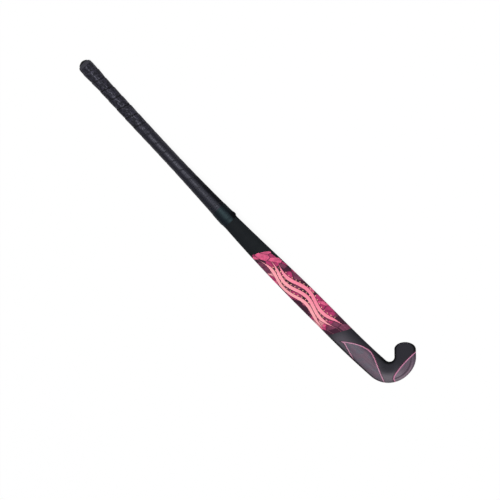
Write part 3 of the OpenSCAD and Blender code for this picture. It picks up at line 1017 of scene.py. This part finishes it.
# How strong the painted shade is on that strip, in the seams and in the holes
SIDE_SHADE = 0.85
SEAM_SHADE = 0.65
HOLE_SHADE = 0.8

# Where along the stick the finishing tape's bunched end starts, and how strong the painted shade on the
# tape's toe side is before and after
BUNCH_START = (430, 440)
BUNCH_SHADE = (0.5, 0.95)

# Stretch lines of the finishing tape: stretch round the handle and along it, where they shine, the
# tape's roughness between them and on them, and their height
STRETCH_ROUND = 0.05
STRETCH_ALONG = 1.3
STRETCH_SHINES = (0.3, 0.75)
VINYL_ROUGHNESS = (0.5, 0.58)
VINYL_RELIEF = 0.12 * MM


def toe_side(place):
    """Where a share of the way round the handle is on the toe side."""
    return abs((place + (0.5 - SHADE_MIDDLE)).cycle() - 0.5).fall(*SHADE_EDGE)


def grip_material(scene):
    """Perforated polyurethane tape: mottled on the upper hand's half, smoother on the lower."""
    tones, sizes = scene.grip_settings, scene.grip_sizes
    half_width = (sizes.tape_pitch - sizes.tape_gap) / MM / 2
    material, shade = new_material("grip_polyurethane")
    run, across, along = shade.wrap().parts()
    upper = along.rise(*HAND_END, 1, HAND_LEFT)
    drift = along * TURN_CHANGE
    pores = shade.noise(shade.vector(run, across, drift), PORE_SCALE, 3)
    patches = shade.noise(shade.vector(run, across * PATCH_STRETCH, drift), PATCH_SCALE)
    second_row = (run / (2 * HOLE_PITCH)).cycle().rise(0.499, 0.501)
    hole_run = run.to_middle(HOLE_PITCH)
    hole_across = (across + second_row * (HOLE_PITCH / 2)).to_middle(HOLE_PITCH)
    hole = (hole_run * hole_run + hole_across * hole_across).fall(*HOLE_EDGE)
    edge = across / half_width
    seam = abs(edge).rise(*SEAM_EDGE) * upper.rise(0, 1, SEAM_LEFT, 1)
    seam = seam * along.rise(*SEAM_START, SEAM_AT_BUTT, 1)
    # Painted highlight: the raised upper edge of each turn made paler, as if it caught the light
    shoulder = edge.fall(*SHOULDER) * (1 - seam)
    polish = patches.rise(*POLISHED)
    worn_and_lit = (polish * WORN_POLISH + shoulder * SHOULDER_HIGHLIGHT) * upper + WORN_LEAST
    tone = along.rise(*LOW_START).blend(tones.tape, tones.tape_low)
    tone = (upper * HAND_DARK).blend(tone, tones.seam)
    tone = worn_and_lit.blend(tone, tones.tape_worn_and_lit)
    # Painted shade: holes darkened as if shaded inside, and seams, dark joints, darkened further as
    # shade in their grooves
    tone = (hole * HOLE_SHADE_TONE).most(seam).blend(tone, tones.seam)
    ribs = ((along + across) * (2 * math.pi / RIB_PITCH)).sine() * (1 - upper) * RIB_RELIEF
    relief = pores * PORE_RELIEF * upper + patches * PATCH_RELIEF * upper
    relief = relief + HOLE_RELIEF * (1 - hole) + ribs
    roughness = pores.spread(*TAPE_ROUGHNESS) + (HAND_ROUGHER - polish * POLISH_SMOOTHER) * upper
    sockets = {
        "Base Color": tone,
        "Roughness": roughness + along.rise(*ROUGH_START, 0, LOW_ROUGHER),
        "Specular IOR Level": 0.32,
        "Specular Tint": (0.83, 0.84, 1),
        "Normal": shade.bump(relief, TAPE_RELIEF),
    }
    # Painted shade: a matt black strip along the toe side of the lower grip, laid also on the seams and
    # holes
    painted_shade = toe_side(FACE_MIDDLE - run / HANDLE_GIRTH) * along.rise(*SHADE_SIDE_START, 0, SIDE_SHADE)
    surface(shade, sockets, painted_shade.most(seam * SEAM_SHADE).most(hole * HOLE_SHADE), tones.painted_shade)
    return material


def vinyl_material(scene):
    """Stretched vinyl tape: dark, a little glossy, with fine stretch lines round the handle."""
    tones = scene.grip_settings
    material, shade = new_material("finishing_vinyl")
    around, along, _ = shade.wrap().parts()
    stretch = shade.noise(shade.vector(around * STRETCH_ROUND, along * STRETCH_ALONG), 1, 3)
    sheen = stretch.rise(*STRETCH_SHINES)
    sockets = {
        "Base Color": sheen.blend(tones.vinyl, tones.vinyl_sheen),
        "Roughness": sheen.rise(0, 1, *VINYL_ROUGHNESS),
        "Specular IOR Level": 0.24,
        "Specular Tint": (0.6, 0.95, 1),
        "Normal": shade.bump(stretch, VINYL_RELIEF),
    }
    # Painted shade: the tape's toe side turns matt black, most of all at its bunched end
    bunched = toe_side(around / HANDLE_GIRTH) * along.rise(*BUNCH_START, *BUNCH_SHADE)
    surface(shade, sockets, bunched, tones.painted_shade)
    return material


# Butt cap: run of its lip's edge in millimetres, how strong the painted highlight on the lip is, how
# pale the bloom on the grain is, the grain's scale and height, and the rubber's roughness
LIP_EDGE = 0.6
LIP_HIGHLIGHT = 0.7
BLOOM_PALE = 0.09
RUBBER_GRAIN = 2.2
RUBBER_RELIEF = 0.08 * MM
RUBBER_ROUGHNESS = (0.5, 0.62)


def rubber_material(scene):
    """Moulded rubber of the butt cap, with a painted highlight on its lip and a fine moulded grain."""
    tones, sizes = scene.grip_settings, scene.grip_sizes
    material, shade = new_material("cap_rubber")
    wrap = shade.wrap()
    _, along, _ = wrap.parts()
    lip_start = (sizes.cap_dome - sizes.cap_lip) / MM
    lip = along.rise(lip_start, lip_start + LIP_EDGE)
    grain = shade.noise(wrap, RUBBER_GRAIN, 3)
    bloom = grain.rise(*NOISE_HIGH)
    sockets = {
        # Painted highlight: the lip made paler, as if it caught the light
        "Base Color": (lip * LIP_HIGHLIGHT + bloom * BLOOM_PALE).blend(tones.rubber, tones.lip_highlight),
        "Roughness": grain.spread(*RUBBER_ROUGHNESS),
        "Specular IOR Level": 0.06,
        "Normal": shade.bump(grain, RUBBER_RELIEF),
    }
    surface(shade, sockets)
    return material


# Foam: where its cells are pores, scale of its clouds, how dark pores and clouds are, its roughness,
# and the pores' depth as a share of a cell
FOAM_PORES = (0.2, 0.6)
FOAM_CLOUD_SCALE = 60
FOAM_PORE_DARK = 0.6
FOAM_CLOUD_DARK = 0.4
FOAM_ROUGHNESS = (0.8, 0.95)
FOAM_RELIEF = 1 / 3


def foam_material(name, dark, light, cell):
    """Foam with fine open cells of a size in metres."""
    material, shade = new_material(name)
    place = shade.place()
    cells = shade.node("ShaderNodeTexVoronoi", {"Vector": place, "Scale": 1 / cell})
    pores = cells.rise(*FOAM_PORES)
    clouds = shade.noise(place, FOAM_CLOUD_SCALE)
    sockets = {
        "Base Color": (pores * FOAM_PORE_DARK + clouds * FOAM_CLOUD_DARK).blend(light, dark),
        "Roughness": clouds.spread(*FOAM_ROUGHNESS),
        "Normal": shade.bump(1 - pores, cell * FOAM_RELIEF),
    }
    surface(shade, sockets)
    return material


# Woven fibre: where warp turns to weft, roughness of the two, and height as a share of a thread
WEFT_SHOWS = (0.35, 0.65)
WOVEN_ROUGHNESS = (0.4, 0.6)
WOVEN_RELIEF = 1 / 8


def woven_material(name, warp, weft, thread):
    """Plain-woven fibre in resin, with a thread size in metres."""
    material, shade = new_material(name)
    x, y, z = shade.place().parts()
    turn = math.pi / thread
    over = ((x + y) * turn).sine()
    under = ((x - y + z) * turn).sine()
    weave = over * under * 0.5 + 0.5
    sockets = {
        "Base Color": weave.rise(*WEFT_SHOWS).blend(warp, weft),
        "Roughness": weave.rise(0, 1, *WOVEN_ROUGHNESS),
        "Normal": shade.bump(abs(over) * 0.5 + abs(under) * 0.5, thread * WOVEN_RELIEF),
    }
    surface(shade, sockets)
    return material


# How much of the white that the floor shows to the eye is its own, and not the lamp's light on it,
# and the scale of its dust
FLOOR_WHITE = 0.94
DUST_SCALE = 3


def floor_material(scene):
    """Pale floor: white to the eye and in reflections, with the shadow kept, and open from below."""
    stage = scene.stage_settings
    material, shade = new_material("studio_floor")
    tone = shade.noise(shade.place(), DUST_SCALE).blend(stage.floor, stage.floor_dust)
    matt_sockets = {"Base Color": tone, "Roughness": 1, "Specular IOR Level": 0}
    matt = shade.node("ShaderNodeBsdfPrincipled", matt_sockets)
    white = shade.node("ShaderNodeEmission", {"Color": (1, 1, 1), "Strength": 1})
    kinds = ("Camera", "Glossy", "Transmission")
    rays = [shade.node("ShaderNodeLightPath", None, f"Is {kind} Ray") for kind in kinds]
    seen = reduce(Flow.most, rays) * FLOOR_WHITE
    above = shade.node("ShaderNodeMixShader", {0: seen, 1: matt, 2: white})
    below = shade.node("ShaderNodeBsdfTransparent")
    backfacing = shade.node("ShaderNodeNewGeometry", None, "Backfacing")
    shader = shade.node("ShaderNodeMixShader", {0: backfacing, 1: above, 2: below})
    shade.node("ShaderNodeOutputMaterial", {"Surface": shader})
    return material


class HOCKEY_OT_stage(bpy.types.Operator):
    """Make the camera, the sky, the lamp and the floor"""

    bl_idname = "hockey.stage"
    bl_label = "Stage"

    # What the camera and the lamp aim at, heights of the sky between which it fades, and the studio's
    # lengths in metres
    aim = Vector((54.95, -50.42, 20)) * MM
    view_reach = 100
    horizon = (0, 0.1)
    key_distance = 6.5
    key_size = 2
    key_direction = Vector((0, 0.09, 1)).normalized()
    floor_radius = 14
    floor_sides = 48

    def execute(self, context):
        stage = context.scene.stage_settings
        context.scene.view_settings.view_transform = "Standard"
        self.add_camera(context.scene, stage)
        self.add_sky(context.scene, stage)
        self.add_key(stage)
        self.add_floor(context.scene)
        return {"FINISHED"}

    def add_camera(self, scene, stage):
        data = bpy.data.cameras.new("camera")
        data.lens = stage.lens
        data.clip_end = self.view_reach
        camera = link("camera", data)
        toward = Vector((0, math.sin(stage.tilt), math.cos(stage.tilt)))
        across = Vector((0, math.cos(stage.tilt), -math.sin(stage.tilt)))
        along = Vector((1, 0, 0))
        right = along * math.cos(stage.roll) + across * math.sin(stage.roll)
        up = across * math.cos(stage.roll) - along * math.sin(stage.roll)
        distance = stage.view_width * stage.lens / data.sensor_width
        turned = Matrix((right, up, toward)).transposed().to_4x4()
        camera.matrix_world = Matrix.Translation(self.aim + toward * distance) @ turned
        scene.camera = camera

    def add_sky(self, scene, stage):
        world = bpy.data.worlds.new("studio_sky")
        world.use_nodes = True
        world.node_tree.nodes.clear()
        shade = Flow(world.node_tree)
        _, _, height = shade.node("ShaderNodeTexCoord", None, "Generated").parts()
        tone = height.rise(*self.horizon).blend((1, 1, 1), stage.sky)
        sky = shade.node("ShaderNodeBackground", {"Color": tone, "Strength": 1})
        shade.node("ShaderNodeOutputWorld", {"Surface": sky})
        scene.world = world

    def add_key(self, stage):
        data = bpy.data.lights.new("key_lamp", "AREA")
        data.energy = stage.key_watts
        data.size = self.key_size
        lamp = link("key_lamp", data)
        lamp.location = self.aim + self.key_direction * self.key_distance
        lamp.rotation_euler = self.key_direction.to_track_quat("Z", "Y").to_euler()

    def add_floor(self, scene):
        mesh = bpy.data.meshes.new("floor")
        radius, sides = self.floor_radius, self.floor_sides
        turns = [2 * math.pi * k / sides for k in range(sides)]
        points = [(radius * math.cos(turn), radius * math.sin(turn), 0) for turn in turns]
        mesh.from_pydata(points, [], [list(range(sides))])
        mesh.materials.append(floor_material(scene))
        floor = link("floor", mesh)


def laminate_places(form, stations):
    """Millimetres along the stick, and round it from the middle of the back, and the side."""
    side = np.sin(2 * math.pi * AROUND)
    middles = np.array([form.placed(station, 0, np.zeros((1, 2)))[0, :2] for station in stations])
    along = (stations[0].x + path_lengths(middles)) / MM
    rows = []
    for station, place in zip(stations, along):
        arc = path_lengths(form.section(station, 0, AROUND)) / MM
        girth = arc[RING_POINTS // 2] - arc
        rows.append(np.stack((np.full_like(arc, place), girth, side), -1))
    return np.array(rows)


class HOCKEY_OT_laminate(bpy.types.Operator):
    """Make the hollow laminate of the shaft and head"""

    bl_idname = "hockey.laminate"
    bl_label = "Laminate"

    def execute(self, context):
        form = StickForm(context.scene)
        wall = form.sizes.shell_wall
        stations = form.stations(form.layers_x)
        outside = [form.ring(station, 0, RING) for station in stations]
        inside = [form.ring(station, wall, RING) for station in stations]
        wrap = laminate_places(form, stations)
        mesh = loft(
            "laminate",
            inside[::-1] + outside,
            np.concatenate((wrap[::-1], wrap)),
            (form.toe_point(wall), form.toe_point(0)),
        )
        material = laminate_material(context.scene, form)
        add_piece("laminate", mesh, material, "laminate", "composite_shell")
        return {"FINISHED"}


def dome_ring(form, x, share, full):
    """A ring of the cap's dome, as a share of a section that stands out from the handle by full."""
    station = form.shaft_station(x)
    points = form.section(station, -full, RING)
    middle = np.array((0, station.thickness / 2))
    return form.placed(station, 0, mix(middle, points, share))


class HOCKEY_OT_butt_cap(bpy.types.Operator):
    """Make the domed butt cap with its lip and spigot"""

    bl_idname = "hockey.butt_cap"
    bl_label = "Butt cap"

    # The dome is fuller than a ball for powers under 1, and slimmer over 1
    dome_power = 1.25
    cap_radius = 14 * MM

    # Where the groove takes the dome's place, counted from the start of the lip
    cut_start = -0.4 * MM
    cut_end = 1.6 * MM

    def execute(self, context):
        form = StickForm(context.scene)
        grip = form.grip
        full = form.grip_out(grip.cap_dome)
        spigot = form.sizes.shell_wall + grip.cap_fit
        outline = self.dome_outline(grip)
        rings = [dome_ring(form, x, share, full) for x, share in outline]
        shoulder = form.shaft_station(grip.cap_dome)
        end = form.shaft_station(grip.cap_dome + grip.cap_spigot)
        rings.append(form.ring(shoulder, spigot, RING))
        rings.append(form.ring(end, spigot + 2 * grip.cap_fit, RING))
        wrap = [band_places(x) for x in [*(x for x, _ in outline), shoulder.x, end.x]]
        tip = np.array(BUTT) + (0, 0, form.butt_lift + form.sizes.handle_thickness / 2)
        mesh = loft("butt_cap", rings, wrap, (tip, rings[-1].mean(0)))
        add_piece("butt_cap_dome", mesh, rubber_material(context.scene), "cap_rubber", "butt_cap")
        return {"FINISHED"}

    def dome_outline(self, grip):
        """Distances from the butt end and shares of the full section, with a groove before the lip."""
        lip_x = grip.cap_dome - grip.cap_lip
        edge = (1 - (1 - lip_x / grip.cap_dome) ** 2) ** (self.dome_power / 2)
        groove = grip.cap_groove / self.cap_radius
        # Millimetres past the start of the lip, and what the share is there above that of its edge
        cut = [(-0.2, -0.01), (0, -groove), (0.6, -groove), (0.8, 0), (1.2, 0.03)]
        dome = []
        for turn in np.linspace(0, math.pi / 2, DOME_STEPS)[1:]:
            dome.append((grip.cap_dome * (1 - math.cos(turn)), math.sin(turn) ** self.dome_power))
        return [
            *(point for point in dome if point[0] < lip_x + self.cut_start),
            *((lip_x + past * MM, edge + above) for past, above in cut),
            *(point for point in dome if point[0] > lip_x + self.cut_end),
        ]


def band_mesh(name, form, outline, lump=None):
    """A band round the handle, from a closed outline of distances from the butt and heights.

    The outline runs towards the head along the underside and comes back along the top.
    """
    rings = []
    for x, height in reversed(outline):
        station = form.shaft_station(x)
        heights = np.full(RING_POINTS, height) + (lump(x, height) if lump else 0)
        points = [form.section(station, -h, [place])[0] for h, place in zip(heights, RING)]
        rings.append(form.placed(station, 0, np.array(points)))
    return loft(name, rings, [band_places(x) for x, _ in reversed(outline)])


class HOCKEY_OT_handle_layers(bpy.types.Operator):
    """Make the build-up ring and the cushion layer under the grip tape"""

    bl_idname = "hockey.handle_layers"
    bl_label = "Handle layers"

    foam_cell = 0.7 * MM

    def execute(self, context):
        form = StickForm(context.scene)
        grip = form.grip
        tones = context.scene.grip_settings
        foam = foam_material("underlay_foam", tones.underlay_dark, tones.underlay_light, self.foam_cell)
        ring = [(x, grip.bond) for x in (form.layers_x, form.build_up_x, form.build_up_end)]
        ring += [(x, grip.bond + form.build_out(x)) for x in (form.build_up_x, form.layers_x)]
        mesh = band_mesh("build_up_ring", form, ring)
        add_piece("build_up_ring", mesh, foam, "underlay_foam", "butt_build_up")
        past_ring = np.linspace(form.build_up_end, grip.grip_end, BAND_STEPS)
        places = [form.layers_x, form.build_up_x, *past_ring]
        sleeve = [(x, form.underlay_out(x)) for x in places]
        sleeve += [(x, form.underlay_out(x) + grip.underlay) for x in places[::-1]]
        mesh = band_mesh("cushion_layer", form, sleeve)
        add_piece("cushion_layer", mesh, foam, "underlay_foam", "grip_underlay")
        return {"FINISHED"}


class HOCKEY_OT_grip_tape(bpy.types.Operator):
    """Wind the grip tape on the handle"""

    bl_idname = "hockey.grip_tape"
    bl_label = "Grip tape"

    # Width of the tape that is left at its two ends, and the slope of its sides
    sliver = 1 * MM
    relief = 0.4 * MM

    # The lap sets in past the butt cap. Most of it fades past the upper hand, and the rest by the band
    lap_run = 30 * MM
    hand_end = (150 * MM, 240 * MM)
    hand_fade = 0.8
    band_near = 45 * MM
    band_close = 13 * MM

    # Share of its thickness that the tape loses at its edges, above and below a span of the handle
    upper_thinning = 0.6
    lower_thinning = 0.2
    thinning_span = (310 * MM, 370 * MM)
    edge_power = 9

    # Points across the tape crowd toward its edges for powers under 1
    crowding = 0.6

    def execute(self, context):
        form = StickForm(context.scene)
        grip = form.grip
        width = grip.tape_pitch - grip.tape_gap
        first = form.layers_x + self.sliver - width / 2
        turns = (grip.grip_end - form.layers_x + width - 2 * self.sliver) / grip.tape_pitch
        sections = []
        wrap = []
        for step in range(int(turns * TAPE_STEPS) + 1):
            turn = step / TAPE_STEPS
            middle = first + grip.tape_pitch * turn
            points, across = self.section(form, middle, width, FACE_MIDDLE - turn)
            sections.append(points)
            run = np.full_like(across, turn * HANDLE_GIRTH)
            wrap.append(np.stack((run, across / MM, np.full_like(across, middle / MM)), -1))
        wrap = np.array(wrap)
        wrap = np.concatenate((wrap, wrap[:, :1]), axis=1)
        ends = (sections[0].mean(0), sections[-1].mean(0))
        mesh = loft("grip_tape", sections, wrap, ends)
        add_piece("wound_grip", mesh, grip_material(context.scene), "grip_polyurethane", "grip_tape")
        return {"FINISHED"}

    def lap(self, form, middle):
        """How far the tape's upper edge stands up where its middle is at a distance from the butt."""
        start, band = form.layers_x, form.grip.grip_end - form.grip.finish_overlap
        past_hand = smooth(*self.hand_end, middle)
        at_band = smooth(band - self.band_near, band - self.band_close, middle)
        fade = mix(at_band, past_hand, self.hand_fade)
        return form.grip.tape_lap * smooth(start, start + self.lap_run, middle) * (1 - fade)

    def section(self, form, middle, width, place):
        """The tape's own section where its middle is at a distance from the butt."""
        near = max(form.layers_x, middle - width / 2)
        far = min(form.grip.grip_end, middle + width / 2)
        share = (far - near) / width
        top = np.linspace(-1, 1, TAPE_POINTS - 2)
        top = np.sign(top) * np.abs(top) ** self.crowding
        spots = np.concatenate(([-1], top, [1]))
        xs = mix(near, far, (spots + 1) / 2)
        xs[0] += self.relief * share
        xs[-1] -= self.relief * share
        lower = smooth(*self.thinning_span, middle)
        thinning = mix(self.upper_thinning, self.lower_thinning, lower)
        heights = form.grip.tape_thickness * (1 - thinning * np.abs(spots) ** self.edge_power)
        heights = heights + self.lap(form, middle) * (1 - spots) / 2
        heights[0] = heights[-1] = 0
        points = []
        for x, height in zip(xs, heights):
            station = form.shaft_station(x)
            points.append(form.ring(station, -(form.tape_out(x) + height), [place])[0])
        return np.array(points), xs - middle


class HOCKEY_OT_finishing_tape(bpy.types.Operator):
    """Wind the finishing tape over the lower end of the grip"""

    bl_idname = "hockey.finishing_tape"
    bl_label = "Finishing tape"

    # The bunched end: its middle and reach as shares of the way round, its start before the grip's
    # end, and the places before the band's end where it is full, starts to fall and is gone
    bunch_middle = 0.02
    bunch_reach = 0.05
    bunch_start = 3 * MM
    bunch_full = 7 * MM
    bunch_fall = 4.5 * MM
    bunch_gone = 2 * MM

    # Slight waves of the tape: height, number round the handle as an angle, and lead along it
    wave_height = 0.06 * MM
    wave_turn = 6 * math.pi
    wave_lead = 4 * MM

    # Points of the outline that are higher than this above the underside are on the top
    skin = 0.01 * MM

    def execute(self, context):
        form = StickForm(context.scene)
        grip = form.grip
        start = grip.grip_end - grip.finish_overlap
        step = grip.grip_end + grip.bond
        foot = step + grip.finish_ramp
        end = foot + grip.finish_landing
        over = form.grip_out(grip.grip_end) + grip.bond

        def underside(x):
            return mix(over, grip.bond, smooth(step, foot, x))

        def lump(x, height):
            """The bunched end of the tape on the toe side, and slight unevenness all round."""
            if height <= underside(x) + self.skin:
                return 0
            around = (RING + 0.5 - self.bunch_middle) % 1 - 0.5
            rise = smooth(step - self.bunch_start, end - self.bunch_full, x)
            rise *= 1 - smooth(end - self.bunch_fall, end - self.bunch_gone, x)
            bunch = grip.finish_lump * np.exp(-((around / self.bunch_reach) ** 2))
            waves = self.wave_height * np.sin(RING * self.wave_turn + x / self.wave_lead)
            return mix(waves, bunch, rise)

        places = np.linspace(start, end, BAND_STEPS)
        outline = [(x, underside(x)) for x in places]
        outline += [(x, underside(x) + grip.finish_thickness) for x in places[::-1]]
        mesh = band_mesh("finishing_tape", form, outline, lump)
        add_piece("finishing_band", mesh, vinyl_material(context.scene), "vinyl_tape", "finishing_tape")
        return {"FINISHED"}


class HOCKEY_OT_inner_pieces(bpy.types.Operator):
    """Give the pieces inside the laminate their materials"""

    bl_idname = "hockey.inner_pieces"
    bl_label = "Inner pieces"

    tube_thread = 2.2 * MM
    sock_thread = 1.6 * MM
    core_cell = 1.1 * MM
    damper_cell = 1.8 * MM

    def execute(self, context):
        tones = context.scene.grip_settings
        tube = woven_material("inner_tube", tones.tube_warp, tones.tube_weft, self.tube_thread)
        sock = woven_material("woven_sock", tones.sock_warp, tones.sock_weft, self.sock_thread)
        core = foam_material("core_foam", tones.core_dark, tones.core_light, self.core_cell)
        damper = foam_material("damper_foam", tones.damper_dark, tones.damper_light, self.damper_cell)
        finishes = {
            "toe_side_tube": tube, "heel_side_tube": tube, "head_core": core, "head_sock": sock,
            "toe_side_damper": damper, "heel_side_damper": damper,
        }
        for node, material in finishes.items():
            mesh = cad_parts[node].data
            mesh.materials.clear()
            mesh.materials.append(material)
        return {"FINISHED"}


OPERATORS = (
    HOCKEY_OT_stage, HOCKEY_OT_laminate, HOCKEY_OT_butt_cap, HOCKEY_OT_handle_layers,
    HOCKEY_OT_grip_tape, HOCKEY_OT_finishing_tape, HOCKEY_OT_inner_pieces,
)
GROUPS = {
    "stick_sizes": StickSizes, "grip_sizes": GripSizes, "print_settings": PrintSettings,
    "grip_settings": GripSettings, "stage_settings": StageSettings,
}


class HOCKEY_PT_panel(bpy.types.Panel):
    """Builds the stick and lists its sizes and colours"""

    bl_idname = "HOCKEY_PT_panel"
    bl_label = "Hockey stick"
    bl_space_type = "VIEW_3D"
    bl_region_type = "UI"
    bl_category = "Hockey stick"

    def draw(self, context):
        for operator in OPERATORS:
            self.layout.operator(operator.bl_idname)
        for name, group in GROUPS.items():
            box = self.layout.box()
            box.label(text=group.__doc__)
            for setting in group.__annotations__:
                box.prop(getattr(context.scene, name), setting)


CLASSES = (*GROUPS.values(), *OPERATORS, HOCKEY_PT_panel)


def register():
    """Make Blender know the classes, and give each scene its settings."""
    for kind in CLASSES:
        bpy.utils.register_class(kind)
    for name, group in GROUPS.items():
        setattr(bpy.types.Scene, name, PointerProperty(type=group))


def unregister():
    """Take the settings and the classes out of Blender again."""
    for name in GROUPS:
        delattr(bpy.types.Scene, name)
    for kind in reversed(CLASSES):
        bpy.utils.unregister_class(kind)


def main():
    """Build the stick on its stage."""
    register()
    bpy.ops.hockey.stage()
    bpy.ops.hockey.laminate()
    bpy.ops.hockey.butt_cap()
    bpy.ops.hockey.handle_layers()
    bpy.ops.hockey.grip_tape()
    bpy.ops.hockey.finishing_tape()
    bpy.ops.hockey.inner_pieces()


if __name__ == "__main__":
    main()
